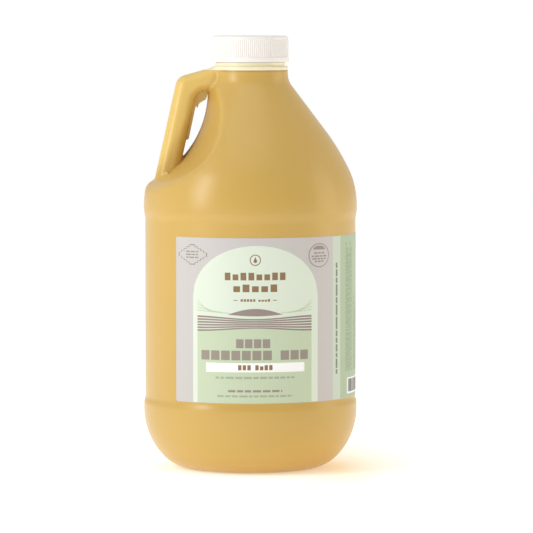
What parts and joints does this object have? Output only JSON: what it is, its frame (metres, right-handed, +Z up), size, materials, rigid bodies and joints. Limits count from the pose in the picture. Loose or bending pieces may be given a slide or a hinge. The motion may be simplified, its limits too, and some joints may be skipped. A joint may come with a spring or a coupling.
{
  "type": "handled oil jug with screw cap",
  "caption": "Round massage oil jug with a hollow side handle, a ribbed screw cap with a foam liner, and a wrap label.",
  "frame": {"origin": "centre of the jug's footprint, on the surface it stands on", "axes": "+Z up through the neck; the label faces -Y; the handle is at -X"},
  "size_m": [0.1492, 0.1492, 0.3025],
  "materials": {
    "natural_hdpe": "satin",
    "oil": "gloss",
    "white_pp": "satin",
    "liner_foam": "matte",
    "label_film": "satin"
  },
  "bodies": {
    "jug_body": {"jug": "natural_hdpe", "oil_fill": "oil", "label": "label_film"},
    "liner_body": {"cap_liner": "liner_foam"},
    "cap_body": {"cap": "white_pp"}
  },
  "joints": [
    {"name": "cap_lift", "type": "slide", "parent": "jug_body", "child": "liner_body", "axis": [0, 0, 1], "range_m": [0, 0.0212]},
    {"name": "cap_turn", "type": "hinge", "parent": "liner_body", "child": "cap_body", "pos_m": [0, 0, 0.29], "axis": [0, 0, 1], "range_deg": [0, 1800]}
  ],
  "couplings": [
    {"joint": "cap_lift", "follows": "cap_turn", "m_per_rad": 0.0006737}
  ]
}
